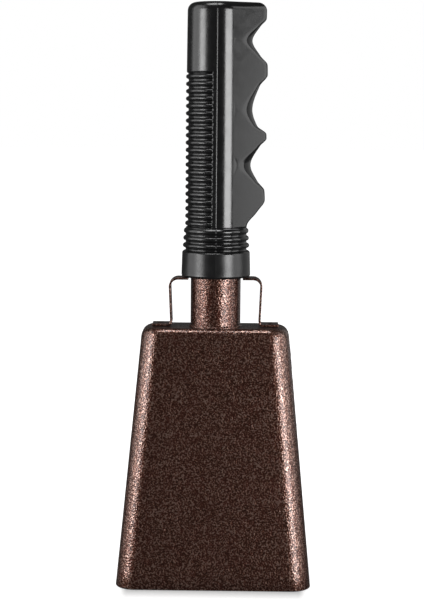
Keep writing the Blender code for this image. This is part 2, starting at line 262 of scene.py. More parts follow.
def tube_along(name, points, radii, closed=False, sides=24):
    """A round bar along points, with a radius at each, closed with flat caps where it is open; the radii can
    round its ends over.
    """
    points = [Vector(p) for p in points]
    count = len(points)
    rings = []
    normal = None
    for index, point in enumerate(points):
        before = points[index - 1] if closed or index else point
        after = points[(index + 1) % count] if closed or index < count - 1 else point
        along = (after - before).normalized()
        if normal is None:
            normal = along.orthogonal().normalized()
        normal = (normal - along * normal.dot(along)).normalized()
        across = along.cross(normal)
        radius = radii[index]
        ring = []
        for side in range(sides):
            angle = math.tau * side / sides
            ring.append(point + (normal * math.cos(angle) + across * math.sin(angle)) * radius)
        rings.append(ring)
    if closed:
        rings.append(rings[0])
    return lofted(name, rings, closed_ends=not closed)


def round_end_radii(points, radius, rounding):
    """Radii along a wire whose cut ends are slightly rounded over."""
    distances = [0.0]
    for start, end in zip(points, points[1:]):
        distances.append(distances[-1] + (Vector(end) - Vector(start)).length)
    total = distances[-1]
    radii = []
    for distance in distances:
        from_end = min(distance, total - distance)
        into = max(0.0, rounding - from_end)
        radii.append(radius - rounding + math.sqrt(max(0.0, rounding**2 - into**2)))
    return radii


def with_end_points(points, rounding):
    """The path with extra points close to both ends, where the wire's edge is rounded over."""
    start, second = Vector(points[0]), Vector(points[1])
    last, before = Vector(points[-1]), Vector(points[-2])
    steps = (0.0, 0.15, 0.4, 0.7, 1.0)
    head = [start + (second - start).normalized() * rounding * s for s in steps]
    tail = [last + (before - last).normalized() * rounding * s for s in reversed(steps)]
    return head + [Vector(p) for p in points[1:-1]] + tail


# ---------------------------------------------------------------- materials


class Nodes:
    """A short way to write a material's node tree."""

    def __init__(self, name):
        self.material = bpy.data.materials.new(name)
        self.material.use_nodes = True
        self.tree = self.material.node_tree
        self.shader = self.tree.nodes["Principled BSDF"]
        self.place = self.add("ShaderNodeTexCoord").outputs["Object"]

    def add(self, kind, **settings):
        node = self.tree.nodes.new(kind)
        for key, value in settings.items():
            setattr(node, key, value)
        return node

    def link(self, output, target):
        self.tree.links.new(output, target)

    def feed(self, socket, value):
        """Give a socket a number, a colour or another node's output."""
        if isinstance(value, (int, float)):
            socket.default_value = value
        elif isinstance(value, tuple):
            socket.default_value = (*value, 1.0)
        else:
            self.link(value, socket)

    def noise(self, scale, detail=2.0, roughness=0.5, distortion=0.0):
        node = self.add("ShaderNodeTexNoise")
        node.inputs["Scale"].default_value = scale
        node.inputs["Detail"].default_value = detail
        node.inputs["Roughness"].default_value = roughness
        node.inputs["Distortion"].default_value = distortion
        self.link(self.place, node.inputs["Vector"])
        return node.outputs["Fac"]

    def cells(self, scale):
        node = self.add("ShaderNodeTexVoronoi")
        node.inputs["Scale"].default_value = scale
        self.link(self.place, node.inputs["Vector"])
        return node.outputs["Distance"]

    def ramp(self, value, stops):
        node = self.add("ShaderNodeValToRGB")
        elements = node.color_ramp.elements
        while len(elements) < len(stops):
            elements.new(0.5)
        for element, (position, colour) in zip(elements, stops):
            element.position = position
            element.color = (*colour, 1.0)
        self.link(value, node.inputs["Fac"])
        return node.outputs["Color"]

    def level(self, value, low, high, to_low, to_high):
        node = self.add("ShaderNodeMapRange")
        for key, number in zip(("From Min", "From Max", "To Min", "To Max"), (low, high, to_low, to_high)):
            node.inputs[key].default_value = number
        self.link(value, node.inputs["Value"])
        return node.outputs["Result"]

    def math(self, operation, first, second):
        node = self.add("ShaderNodeMath", operation=operation)
        self.feed(node.inputs[0], first)
        self.feed(node.inputs[1], second)
        return node.outputs["Value"]

    def vector_math(self, operation, first, second=None):
        node = self.add("ShaderNodeVectorMath", operation=operation)
        self.link(first, node.inputs[0])
        if second:
            node.inputs[1].default_value = second
        return node.outputs["Value" if operation == "LENGTH" else "Vector"]

    def mix(self, factor, first, second):
        node = self.add("ShaderNodeMix", data_type="RGBA")
        for index, value in ((0, factor), (6, first), (7, second)):  # the sockets of a colour mix
            self.feed(node.inputs[index], value)
        return node.outputs[2]

    def bump(self, height, distance, under=None):
        """A bump in metres of depth, on top of another one's normal where one is given."""
        node = self.add("ShaderNodeBump")
        node.inputs["Distance"].default_value = distance
        self.link(height, node.inputs["Height"])
        if under:
            self.link(under, node.inputs["Normal"])
        return node.outputs["Normal"]

    def set(self, **values):
        for key, value in values.items():
            self.feed(self.shader.inputs[key.replace("_", " ")], value)


def hammertone_paint(name, warmth=1.0):
    """Dark copper-brown hammertone enamel: short lighter metallic strokes raised round dark dimples."""
    n = Nodes(name)
    worms = n.noise(1700.0, detail=0.0, distortion=0.4)
    pits = n.cells(1400.0)
    broad = n.noise(60.0, detail=3.0)
    tint = n.noise(260.0, detail=2.0)
    mixed = n.math("ADD", n.math("MULTIPLY", worms, 0.62), n.math("MULTIPLY", pits, 0.55))
    veins = n.level(mixed, 0.44, 0.76, 0.0, 1.0)
    height = n.level(mixed, 0.35, 0.85, 0.0, 1.0)
    colour = n.ramp(
        veins,
        [
            (0.0, (0.029 * warmth, 0.0070, 0.0028)),
            (0.40, (0.060 * warmth, 0.0180, 0.0095)),
            (0.75, (0.180 * warmth, 0.088, 0.063)),
            (1.0, (0.290 * warmth, 0.185, 0.150)),
        ],
    )
    reddish = n.mix(n.level(tint, 0.44, 0.66, 0.0, 0.20), colour, (0.090, 0.018, 0.013))
    shaded = n.mix(n.level(broad, 0.40, 0.70, 0.0, 0.12), reddish, (0.030, 0.015, 0.010))
    relief = n.bump(height, 0.085 * MM)
    skin = n.bump(height, 0.060 * MM)
    n.set(
        Base_Color=shaded,
        Metallic=0.9,
        Roughness=n.level(veins, 0.0, 1.0, 0.40, 0.28),
        Normal=relief,
        Coat_Weight=0.65,
        Coat_Roughness=0.12,
        Coat_Normal=skin,
    )
    return n.material


def black_vinyl():
    """Glossy black vinyl with the faint unevenness of a dipped moulding and light handling marks."""
    n = Nodes("grip_vinyl")
    slow = n.noise(45.0, detail=2.0)
    fine = n.noise(1500.0, detail=2.0)
    marks = n.noise(260.0, detail=4.0, roughness=0.6)
    rubbed = n.level(marks, 0.45, 0.75, 0.0, 0.4)
    colour = n.mix(rubbed, (0.0040, 0.0040, 0.0042), (0.007, 0.007, 0.0075))
    soft = n.bump(slow, 0.04 * MM)
    place = n.add("ShaderNodeSeparateXYZ")
    n.link(n.place, place.inputs[0])
    collar = n.level(place.outputs["Z"], COLLAR_TOP - 0.5 * MM, COLLAR_TOP + 0.5 * MM, 1.0, 0.0)
    ribs = n.level(place.outputs["X"], 0.0, 1.0 * MM, 0.6, 0.0)
    satin = n.math("MULTIPLY", n.math("MAXIMUM", collar, ribs), 0.13)
    dents = n.bump(n.math("MULTIPLY", n.noise(130.0, detail=1.0), collar), 0.15 * MM, under=soft)
    n.set(
        Base_Color=colour,
        Roughness=n.math("ADD", n.level(marks, 0.35, 0.75, 0.15, 0.22), satin),
        Normal=n.bump(fine, 0.004 * MM, under=dents),
        IOR=1.52,
    )
    return n.material


def zinc_wire():
    """Zinc-plated wire: fine drawing lines, a faint yellow-blue film and duller patches."""
    n = Nodes("zinc_plating")
    patches = n.noise(240.0, detail=3.0)
    grain = n.noise(3000.0, detail=2.0)
    colour = n.ramp(
        patches,
        [
            (0.3, (0.50, 0.50, 0.47)),
            (0.55, (0.60, 0.61, 0.62)),
            (0.8, (0.52, 0.55, 0.60)),
        ],
    )
    n.set(
        Base_Color=colour,
        Metallic=1.0,
        Roughness=n.level(patches, 0.3, 0.7, 0.26, 0.44),
        Normal=n.bump(grain, 0.010 * MM),
    )
    return n.material


def bright_ball():
    """A plated steel ball, with small dents and rubbed, scuffed patches."""
    n = Nodes("ball_plating")
    scuffs = n.noise(420.0, detail=4.0, roughness=0.65)
    dents = n.cells(380.0)
    colour = n.ramp(scuffs, [(0.35, (0.52, 0.51, 0.50)), (0.65, (0.66, 0.66, 0.67))])
    dent_height = n.level(dents, 0.0, 0.22, 0.0, 1.0)
    n.set(
        Base_Color=colour,
        Metallic=1.0,
        Roughness=n.level(scuffs, 0.35, 0.75, 0.12, 0.34),
        Normal=n.bump(dent_height, 0.02 * MM),
    )
    return n.material


def raw_weld():
    """Grey weld metal with a straw and blue heat tint."""
    n = Nodes("weld_metal")
    heat = n.noise(500.0, detail=2.0)
    grain = n.noise(1400.0, detail=3.0)
    colour = n.ramp(heat, [(0.3, (0.26, 0.24, 0.22)), (0.5, (0.34, 0.28, 0.20)), (0.7, (0.20, 0.22, 0.28))])
    n.set(
        Base_Color=colour,
        Metallic=0.9,
        Roughness=n.level(grain, 0.3, 0.7, 0.35, 0.6),
        Normal=n.bump(grain, 0.03 * MM),
    )
    return n.material


def floor_material(name, shadow):
    """A pale floor that glows as a lit white sweep does. With shadow set, a contact shadow is painted in
    under the bell: the colour is darker and the glow weaker there.
    """
    n = Nodes(name)
    n.set(Base_Color=(0.82, 0.82, 0.82), Roughness=0.7, Specular_IOR_Level=0.2)
    n.set(Emission_Color=(1.0, 1.0, 1.0), Emission_Strength=1.0)
    if shadow:
        # Painted shadow: a darker colour and a weaker glow in a rectangle under the bell's front half, fading
        # outwards.
        from_shadow = n.vector_math("ADD", n.place, (0.0, -SHADOW_CENTRE_Y, 0.0))
        outside = n.vector_math("SUBTRACT", n.vector_math("ABSOLUTE", from_shadow), SHADOW_HALF_SIZE)
        clear = n.vector_math("MAXIMUM", outside)
        distance = n.vector_math("LENGTH", n.vector_math("MULTIPLY", clear, SHADOW_STRETCH))
        away = n.level(distance, SHADOW_NEAR, SHADOW_FAR, 0.0, 1.0)
        n.set(Base_Color=n.mix(away, (0.34, 0.34, 0.34), (0.80, 0.80, 0.80)))
        n.set(Emission_Strength=n.level(away, 0.0, 1.0, 0.22, 0.75))
    return n.material


def finish_with(obj, material, slot, body, *replaced):
    """Give a piece its material (the slot argument is not used), the body it rides on, and the CAD nodes it
    stands for.
    """
    obj.data.materials.clear()
    obj.data.materials.append(material)
    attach(obj, body)
    if replaced:
        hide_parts(*replaced)


# ---------------------------------------------------------------- bell


def half_width(z, mouth_half, top_half, shoulder):
    """Half the bell's width at a height: a leaning wall, rounded over into the flat top."""
    slope = (mouth_half - top_half) / BELL_TOP
    lean = math.atan(slope)
    centre_z = BELL_TOP - shoulder
    tangent_z = centre_z + shoulder * math.sin(lean)
    if z <= tangent_z:
        return mouth_half - slope * z
    centre_x = mouth_half - slope * tangent_z - shoulder * math.cos(lean)
    return centre_x + math.sqrt(max(0.0, shoulder**2 - (z - centre_z) ** 2))


def half_outline(z, side, corner_steps=20, flat_steps=14, flank_steps=4):
    """Half of the bell's outline at a height, from its right seam round the face to its left seam."""
    half_x = half_width(z, MOUTH_HALF_X, TOP_HALF_X, SIDE_SHOULDER)
    half_y = half_width(z, MOUTH_HALF_Y, TOP_HALF_Y, FACE_SHOULDER)
    inset_x = MOUTH_HALF_X - (MOUTH_HALF_X - TOP_HALF_X) * z / BELL_TOP - half_x
    inset_y = MOUTH_HALF_Y - (MOUTH_HALF_Y - TOP_HALF_Y) * z / BELL_TOP - half_y
    corner = PLAN_CORNER - (inset_x + inset_y) / 2
    seam = SEAM_GAP / 2
    flank = np.linspace(seam, half_y - corner, flank_steps + 1)[:-1]
    right = [(half_x, y) for y in flank]
    right += arc((half_x - corner, half_y - corner), corner, 0, 90, corner_steps)
    middle = np.linspace(half_x - corner, corner - half_x, flat_steps + 1)[1:-1]
    outline = right + [(x, half_y) for x in middle] + [(-x, y) for x, y in reversed(right)]
    return [(x, side * y, z) for x, y in outline]


def pulled_in(outline, depth, rise=0.0):
    """An outline moved inwards by a depth and up by a rise, square to itself seen from above."""
    points = np.array(outline)
    middle = len(points) // 2
    side = math.copysign(1.0, points[middle, 1])
    along = np.gradient(points[:, :2], axis=0)
    along[0] = (0.0, side)
    along[-1] = (0.0, -side)
    along /= np.maximum(np.linalg.norm(along, axis=1), 1e-12)[:, None]
    inward = np.stack([-along[:, 1], along[:, 0]], axis=1)
    if np.dot(inward[middle], points[middle, :2]) > 0:
        inward = -inward
    moved = points.copy()
    moved[:, :2] += inward * depth
    moved[:, 2] += rise
    return moved


def flat_top(ring, seam):
    """Rows of the flat top, from the seam out towards the ring that the top ends in."""
    rows = []
    for share in (0.0, 0.3, 0.6, 0.85):
        row = ring.copy()
        row[:, 1] = seam + (ring[:, 1] - seam) * share
        rows.append(row)
    return rows


def shell_rows(side):
    """A half's rows, from the outer seam down the outside, round the rim and back up the inside."""
    shoulder_base = BELL_TOP - SIDE_SHOULDER
    shoulder_turns = np.radians(np.linspace(90, 5, 18))
    outer = []
    inner = []
    for turn in shoulder_turns:
        ring = np.array(half_outline(shoulder_base + SIDE_SHOULDER * math.sin(turn), side))
        outer.append(ring)
        inner.append(pulled_in(ring, SHEET * math.cos(turn), rise=-SHEET * math.sin(turn)))
    for z in np.linspace(shoulder_base, RIM_ROUNDING, 18):
        ring = np.array(half_outline(z, side))
        outer.append(ring)
        inner.append(pulled_in(ring, SHEET))
    mouth = half_outline(RIM_ROUNDING, side)
    low_outer = []
    low_inner = []
    for turn in np.radians((30, 60, 90)):
        inset = RIM_ROUNDING * (1 - math.cos(turn))
        drop = -RIM_ROUNDING * math.sin(turn)
        low_outer.append(pulled_in(mouth, inset, drop))
        low_inner.append(pulled_in(mouth, SHEET - inset, drop))
    seam = side * SEAM_GAP / 2
    outside = flat_top(outer[0], seam) + outer + low_outer
    inside = flat_top(inner[0], seam) + inner + low_inner
    return outside + inside[::-1]


def bell_half(name, side, paint, node):
    """One pressed half of the bell: outer skin, rounded rim and inner skin as one closed sheet."""
    rows = shell_rows(side)
    total, count = len(rows), len(rows[0])
    faces = []
    for row in range(total):
        following = (row + 1) % total
        for column in range(count - 1):
            low, high = row * count + column, following * count + column
            faces.append((low, low + 1, high + 1, high))
    for row in range(total // 2 - 1):
        for column in (0, count - 1):
            pair = (row, row + 1, total - 2 - row, total - 1 - row)
            faces.append(tuple(index * count + column for index in pair))
    half = mesh_piece(name, np.concatenate(rows), faces)
    finish_with(half, paint, "bell_paint", "bell", node)


def weld_bead(name, points, radius, ripple, closed=False):
    """A weld bead: a low bar whose thickness ripples as the puddle froze."""
    radii = []
    for index, point in enumerate(points):
        wander = noise.noise(Vector(point) * 600.0) * 0.22
        radii.append(radius * (1.0 + ripple * math.sin(index * 1.9) + wander))
    if not closed:
        for index, share in enumerate((0.35, 0.7, 0.9)):
            radii[index] *= share
            radii[-1 - index] *= share
    return tube_along(name, points, radii, closed=closed, sides=12)


def make_bell(paint):
    """The two halves, and the beads along the joint at both sides and under the top."""
    bell_half("bell_front_half", -1, paint, "front_shell")
    bell_half("bell_rear_half", 1, paint, "rear_shell")
    sunk = 0.42 * MM  # how deep a side bead's centre line lies in the wall
    for name, side in (("left_seam_weld", -1), ("right_seam_weld", 1)):
        heights = np.linspace(2.0 * MM, BELL_TOP - SIDE_SHOULDER, 120)
        path = [(side * (MOUTH_HALF_X - WALL_LEAN * z - sunk), 0.0, z) for z in heights]
        bead = weld_bead(name, path, radius=0.62 * MM, ripple=0.05)
        finish_with(bead, paint, "bell_paint", "bell")
    bead_z = BELL_TOP - SHEET + 0.25 * MM
    path = [(x, 0.0, bead_z) for x in np.linspace(-25 * MM, 25 * MM, 60)]
    bead = weld_bead("top_seam_weld", path, radius=0.7 * MM, ripple=0.06)
    finish_with(bead, paint, "bell_paint", "bell")


# ---------------------------------------------------------------- neck and straps


def circle(radius, z, steps, centre_x=0.0):
    """Points round a level circle whose centre is above or below the X axis."""
    angles = np.linspace(0, math.tau, steps, endpoint=False)
    return [Vector((centre_x + radius * math.cos(a), radius * math.sin(a), z)) for a in angles]


def make_neck(paint):
    """The neck tube with chamfered ends, and the weld round its foot."""
    outer = NECK_RADIUS
    inner = NECK_RADIUS - NECK_WALL
    chamfer = NECK_CHAMFER
    low, high = NECK_LOW[2], NECK_HIGH[2]
    profile = [(inner, low + chamfer), (inner + chamfer, low), (outer - chamfer, low), (outer, low + chamfer)]
    profile += [(outer, z) for z in np.linspace(low + 2 * MM, high - 2 * MM, 24)]
    profile += [(outer, high - chamfer), (outer - chamfer, high), (inner + chamfer, high)]
    profile += [(inner, high - chamfer), (inner, low + chamfer)]
    tube = turned("neck_pipe", profile, steps=128)
    finish_with(tube, paint, "neck_paint", "bell", "neck_tube")
    foot = circle(outer + 0.05 * MM, BELL_TOP + 0.15 * MM, 200)
    bead = weld_bead("neck_weld", foot, radius=0.62 * MM, ripple=0.06, closed=True)
    finish_with(bead, paint, "neck_paint", "bell")


def make_strap(name, side, paint, node):
    """A bent strip with rounded edges, resting flat on the bell's top and passing under the grip."""
    low, high = STRAP_LOW, STRAP_HIGH
    foot_z = low[2] + STRAP_SHEET / 2
    arm_z = high[2] - STRAP_SHEET / 2
    corners = [
        (side * high[0], foot_z),
        (side * (LEG_FOOT_X - STRAP_SHEET / 2), foot_z),
        (side * (LEG_TOP_X - STRAP_SHEET / 2), arm_z),
        (side * low[0], arm_z),
    ]
    path = filleted(corners, (FOOT_BEND, ARM_BEND), 16)
    columns = len(path)
    rows = 7
    half_wide = (high[1] - low[1]) / 2
    vertices = [(x, y, z) for y in np.linspace(-half_wide, half_wide, rows) for x, z in path]
    faces = []
    for row in range(rows - 1):
        for column in range(columns - 1):
            corner = row * columns + column
            faces.append((corner, corner + 1, corner + columns + 1, corner + columns))
    strap = mesh_piece(name, vertices, faces)
    thick = strap.modifiers.new("sheet", "SOLIDIFY")
    thick.thickness = STRAP_SHEET
    thick.offset = 0.0
    thick.use_even_offset = True
    edges = strap.modifiers.new("edges", "BEVEL")
    edges.width = STRAP_EDGE
    edges.segments = 3
    edges.limit_method = "ANGLE"
    edges.angle_limit = math.radians(50)
    finish_with(strap, paint, "strap_paint", "bell", node)
    foot_top = low[2] + STRAP_SHEET
    for number, y in ((1, -SPOT_WELD_Y), (2, SPOT_WELD_Y)):
        dimple = spot_weld(f"{name}_spot_weld_{number}", (side * SPOT_WELD_X, y), foot_top)
        finish_with(dimple, paint, "strap_paint", "bell")


def spot_weld(name, spot, top):
    """A shallow electrode mark in a strap's foot: a dished middle and a raised ring."""
    profile = [(0.0, top - 0.05 * MM), (0.9 * MM, top - 0.02 * MM), (1.15 * MM, top + 0.10 * MM)]
    profile += [(1.4 * MM, top + 0.10 * MM), (1.7 * MM, top - 0.10 * MM), (0.0, top - 0.35 * MM)]
    return turned(name, profile, centre=spot, steps=40)


# ---------------------------------------------------------------- grip


def finger_reach(heights):
    """How far the finger side reaches at each height, on a smooth line through FINGER_LINE."""
    knots = np.array([point[0] for point in FINGER_LINE])[::-1] * MM
    reaches = np.array([point[1] for point in FINGER_LINE])[::-1] * MM
    heights = np.clip(heights, knots[0], knots[-1])
    slopes = np.diff(reaches) / np.diff(knots)
    product = slopes[:-1] * slopes[1:]
    total = np.where(np.abs(slopes[:-1] + slopes[1:]) < 1e-9, 1.0, slopes[:-1] + slopes[1:])
    tangents = np.zeros(len(knots))
    tangents[1:-1] = np.where(product > 0, 2 * product / total, 0.0)
    span = np.clip(np.searchsorted(knots, heights) - 1, 0, len(knots) - 2)
    width = knots[span + 1] - knots[span]
    t = (heights - knots[span]) / width
    start = (2 * t**3 - 3 * t**2 + 1) * reaches[span] + (t**3 - 2 * t**2 + t) * width * tangents[span]
    end = (3 * t**2 - 2 * t**3) * reaches[span + 1] + (t**3 - t**2) * width * tangents[span + 1]
    return start + end


def ray_to_circle(angle, centre_x, radius):
    """How far a ray from the origin runs, at an angle from +X, before it leaves a circle centred on X."""
    return centre_x * np.cos(angle) + np.sqrt(np.maximum(radius**2 - (centre_x * np.sin(angle)) ** 2, 0.0))


def wedge_radius(angle, radius):
    """Distance from the axis to the wedge: two flat faces from the round body to the round nose."""
    angle = np.abs(angle)
    nose_x = WEDGE_REACH - WEDGE_NOSE
    tangent = np.arccos((radius - WEDGE_NOSE) / nose_x)
    nose_angle = np.arctan2(WEDGE_NOSE * np.sin(tangent), nose_x + WEDGE_NOSE * np.cos(tangent))
    face = radius / np.cos(np.clip(angle - tangent, -1.2, 0.0))
    nose = ray_to_circle(np.minimum(angle, nose_angle), nose_x, WEDGE_NOSE)
    return np.where(angle >= tangent, radius, np.where(angle > nose_angle, face, nose))


def smooth_minimum(first, second, blend):
    """The lesser of two, rounded over where they are nearly equal."""
    overlap = np.clip(0.5 + 0.5 * (second - first) / blend, 0.0, 1.0)
    return second * (1 - overlap) + first * overlap - blend * overlap * (1 - overlap)


def eased(t):
    """0 to 1 with level ends."""
    t = np.clip(t, 0.0, 1.0)
    return t * t * (3 - 2 * t)


def rounded_step(heights, middle, half_blend):
    """0 well below the middle height, 1 well above it, and eased in between."""
    return eased((heights - middle) / half_blend * 0.5 + 0.5)


def rib_wave(heights):
    """0 in a valley and 1 on a crest: round crests between narrow flat valleys."""
    offset = (heights - LOWEST_RIB + RIB_PITCH / 2) % RIB_PITCH - RIB_PITCH / 2
    across = np.clip(np.abs(offset) / RIB_HALF_WIDTH, 0.0, 1.0)
    return np.sqrt(1.0 - across**2) * (1 - across**8)


def ribbed_side(angle, z, body, smooth):
    """The part above the full ribs: half ribs on the palm side, let into the smooth surface."""
    ribbed = RIB_VALLEY + (RIB_TIP - RIB_VALLEY) * rib_wave(z)
    ribs_top = LOWEST_RIB + (FULL_RIBS + HALF_RIBS - 0.5) * RIB_PITCH
    above_fin = rounded_step(z, FIN_BOTTOM - 0.7 * MM, 0.1 * MM)
    in_ribs = above_fin * (1 - rounded_step(z, ribs_top, 0.55 * MM))
    past_end = eased((RIB_END_X - body * np.cos(angle)) / (0.35 * MM))
    return smooth + (ribbed - smooth) * past_end * in_ribs


def lower_grip(z):
    """The collar and the full ribs above it."""
    rib_heights = [LOWEST_RIB + index * RIB_PITCH for index in range(FULL_RIBS)]
    tip = np.interp(z, rib_heights, FULL_RIB_TIPS)
    ribs = FULL_RIB_VALLEY + (tip - FULL_RIB_VALLEY) * rib_wave(z)
    share = (z - GRIP_LOW[2]) / (COLLAR_TOP - GRIP_LOW[2])
    collar = COLLAR_LOW_RADIUS + (COLLAR_HIGH_RADIUS - COLLAR_LOW_RADIUS) * share
    return collar + (ribs - collar) * rounded_step(z, COLLAR_TOP + 0.15 * MM, 0.45 * MM)


def grip_radii(angles, heights):
    """The grip's radius over a grid: rows are heights and columns are angles from the finger side."""
    angle = np.abs(angles)[None, :]
    z = heights[:, None]
    rise = np.clip((z - FIN_BOTTOM) / (GRIP_HIGH[2] - FIN_BOTTOM), 0.0, 1.0)
    body = BODY_RADIUS + (BODY_TOP_RADIUS - BODY_RADIUS) * rise**3
    wedge = wedge_radius(angle, body)
    flat = eased((FLAT_SCOOP_TOP - z) / FLAT_SCOOP_BLEND)
    scoop_radius = SCOOP_RADIUS + (FLAT_SCOOP_RADIUS - SCOOP_RADIUS) * flat
    scoop = ray_to_circle(angle, finger_reach(heights)[:, None] - scoop_radius, scoop_radius)
    fingers = np.maximum(body, smooth_minimum(wedge, scoop, SCOOP_EDGE_BLEND))
    smooth = np.where(angle < math.pi / 2, fingers, body)
    upper = ribbed_side(angle, z, body, smooth)
    lower = lower_grip(z)
    return lower + (upper - lower) * rounded_step(z, FIN_BOTTOM - 0.15 * MM, 0.3 * MM)


def grip_angles():
    """Column angles: fine over the fingers, at the ribs' ends and across the parting lines."""
    rib_end = math.degrees(math.acos(RIB_END_X / BODY_RADIUS))
    half = list(np.arange(0.0, 64.0, 1.3)) + list(np.arange(64.0, 88.0, 2.0))
    half += [88.4, 88.8, 89.1, 89.4, 89.7, 90.0, 90.3, 90.6, 90.9, 91.2, 91.6, 92.5, 94.0, 95.5]
    half += [rib_end + past for past in (0.0, 0.3, 0.6, 0.9, 1.2, 1.6)]
    half += list(np.arange(rib_end + 3.0, 177.0, 3.4)) + [180.0]
    half = np.radians(np.array(sorted(half)))
    return np.concatenate([half, -half[-2:0:-1]])


def grip_heights():
    low, high = GRIP_LOW[2], GRIP_HIGH[2]
    collar = np.linspace(low + COLLAR_ROUNDING, COLLAR_TOP - 0.5 * MM, 12)
    ribs_top = LOWEST_RIB + (FULL_RIBS + HALF_RIBS) * RIB_PITCH
    ribs = np.arange(COLLAR_TOP - 0.35 * MM, ribs_top, RIB_PITCH / 12)
    smooth = np.arange(ribs_top + 0.2 * MM, high - TOP_ROUNDING, 0.5 * MM)
    return np.concatenate([collar, ribs, smooth])


def parting_line(angles):
    """Extra radius where the two mould halves met, down the middle of the front and the back."""
    from_line = (np.abs(angles) - math.pi / 2) * BODY_RADIUS
    return PARTING_HEIGHT * np.exp(-((from_line / PARTING_HALF_WIDTH) ** 2))


def make_grip(vinyl):
    """The grip as one closed skin: the bore's roof, its wall, the lip, the outside and the top."""
    angles = grip_angles()
    heights = grip_heights()
    ridge = parting_line(angles)[None, :]
    fade = 1 - 0.6 * rounded_step(-heights, -COLLAR_TOP, 0.6 * MM)[:, None]
    radii = grip_radii(angles, heights) + ridge * fade
    cos, sin = np.cos(angles), np.sin(angles)

    def ring(radius, z):
        return np.stack([radius * cos, radius * sin, np.full_like(cos, z)], axis=1)

    low, high = GRIP_LOW[2], GRIP_HIGH[2]
    bore_top = NECK_HIGH[2] + 0.2 * MM
    lip = COLLAR_LOW_RADIUS - COLLAR_ROUNDING
    rings = [ring(BORE_RADIUS * share, bore_top) for share in (0.02, 0.3, 0.6, 0.97)]
    rings += [ring(BORE_RADIUS, z) for z in np.linspace(bore_top - 0.4 * MM, low + 0.8 * MM, 20)]
    rings += [ring(BORE_RADIUS + 0.15 * MM, low + 0.25 * MM), ring(BORE_RADIUS + 0.5 * MM, low)]
    rings += [ring(lip, low)]
    for turn in np.radians(np.linspace(-80, -8, 7)):
        z = low + COLLAR_ROUNDING * (1 + math.sin(turn))
        rings.append(ring(lip + COLLAR_ROUNDING * math.cos(turn), z))
    rings += [ring(row, z) for row, z in zip(radii, heights)]
    last = radii[-1]
    for turn in np.radians(np.linspace(4, 84, 12)):
        z = high - TOP_CROWN - (TOP_ROUNDING - TOP_CROWN) * (1 - math.sin(turn))
        rings.append(ring(last - TOP_ROUNDING * (1 - math.cos(turn)), z))
    flat = last - TOP_ROUNDING
    rings += [ring(flat * share, high - TOP_CROWN * share**2) for share in (0.97, 0.85, 0.7, 0.5, 0.3, 0.1)]
    grip = lofted("vinyl_grip", rings, smooth_degrees=60.0)
    finish_with(grip, vinyl, "black_grip", "bell", "handle_grip")


# ---------------------------------------------------------------- clapper


def make_staple(zinc, weld):
    """The bent wire under the bell's top, and a weld round each of its feet."""
    half_span = STAPLE_HIGH[0] - STAPLE_WIRE
    bar_z = LINK_PIVOT.z
    foot_z = STAPLE_HIGH[2]
    corners = [(-half_span, foot_z), (-half_span, bar_z), (half_span, bar_z), (half_span, foot_z)]
    path = [Vector((x, 0.0, z)) for x, z in filleted(corners, (STAPLE_BEND, STAPLE_BEND), 14)]
    edge = 0.2 * MM
    points = with_end_points(path, edge)
    staple = tube_along("staple_wire", points, round_end_radii(points, STAPLE_WIRE, edge), sides=28)
    finish_with(staple, zinc, "zinc_wire", "bell", "clapper_staple")
    for name, side in (("staple_weld_left", -1), ("staple_weld_right", 1)):
        foot = circle(STAPLE_WIRE + 0.05 * MM, foot_z - 0.25 * MM, 56, centre_x=side * half_span)
        bead = weld_bead(name, foot, radius=0.55 * MM, ripple=0.10, closed=True)
        finish_with(bead, weld, "zinc_wire", "bell")


def make_link(zinc, weld):
    """The closed link in the YZ plane, with the butt weld half way down one side."""
    straight = LINK_PIVOT.z - CLAPPER_PIVOT.z - LINK_ARC
    foot_z = LINK_PIVOT.z - straight
    upper = arc((0.0, LINK_PIVOT.z), LINK_ARC, 0, 180, 28)
    down_left = [(-LINK_ARC, LINK_PIVOT.z - straight * share) for share in (0.25, 0.5, 0.75)]
    lower = arc((0.0, foot_z), LINK_ARC, 180, 360, 28)
    up_right = [(LINK_ARC, LINK_PIVOT.z - straight * share) for share in (0.75, 0.5, 0.25)]
    path = [Vector((0.0, y, z)) for y, z in upper + down_left + lower + up_right]
    link = tube_along("link_wire", path, [LINK_WIRE] * len(path), closed=True, sides=24)
    finish_with(link, zinc, "zinc_wire", "link", "clapper_link")
    # Shares of the way down the side, and how many times as thick as the wire the joint is there.
    bulge = {0.38: 1.02, 0.44: 1.10, 0.5: 1.14, 0.56: 1.10, 0.62: 1.02}
    joint = [Vector((0.0, LINK_ARC, LINK_PIVOT.z - straight * share)) for share in bulge]
    bead = tube_along("link_butt_weld", joint, [LINK_WIRE * thickness for thickness in bulge.values()])
    finish_with(bead, weld, "zinc_wire", "link")


def make_rod(zinc):
    """The wire rod, with its open eye round the foot of the link."""
    pivot = CLAPPER_PIVOT.z
    drop = math.sqrt(EYE_RADIUS**2 + 2 * EYE_NECK_BEND * EYE_RADIUS)
    meeting = math.degrees(math.atan2(-drop, EYE_NECK_BEND))
    neck = arc((EYE_NECK_BEND, pivot - drop), EYE_NECK_BEND, 180, 180 + meeting, 12)
    eye = arc((0.0, pivot), EYE_RADIUS, meeting, EYE_END_DEGREES, 60)
    stem = [(0.0, z) for z in np.linspace(ROD_LOW[2], pivot - drop, 16)[:-1]]
    path = [Vector((x, 0.0, z)) for x, z in stem + neck + eye[1:]]
    edge = 0.25 * MM
    points = with_end_points(path, edge)
    rod = tube_along("rod_wire", points, round_end_radii(points, ROD_WIRE, edge), sides=24)
    finish_with(rod, zinc, "zinc_wire", "clapper", "clapper_rod")


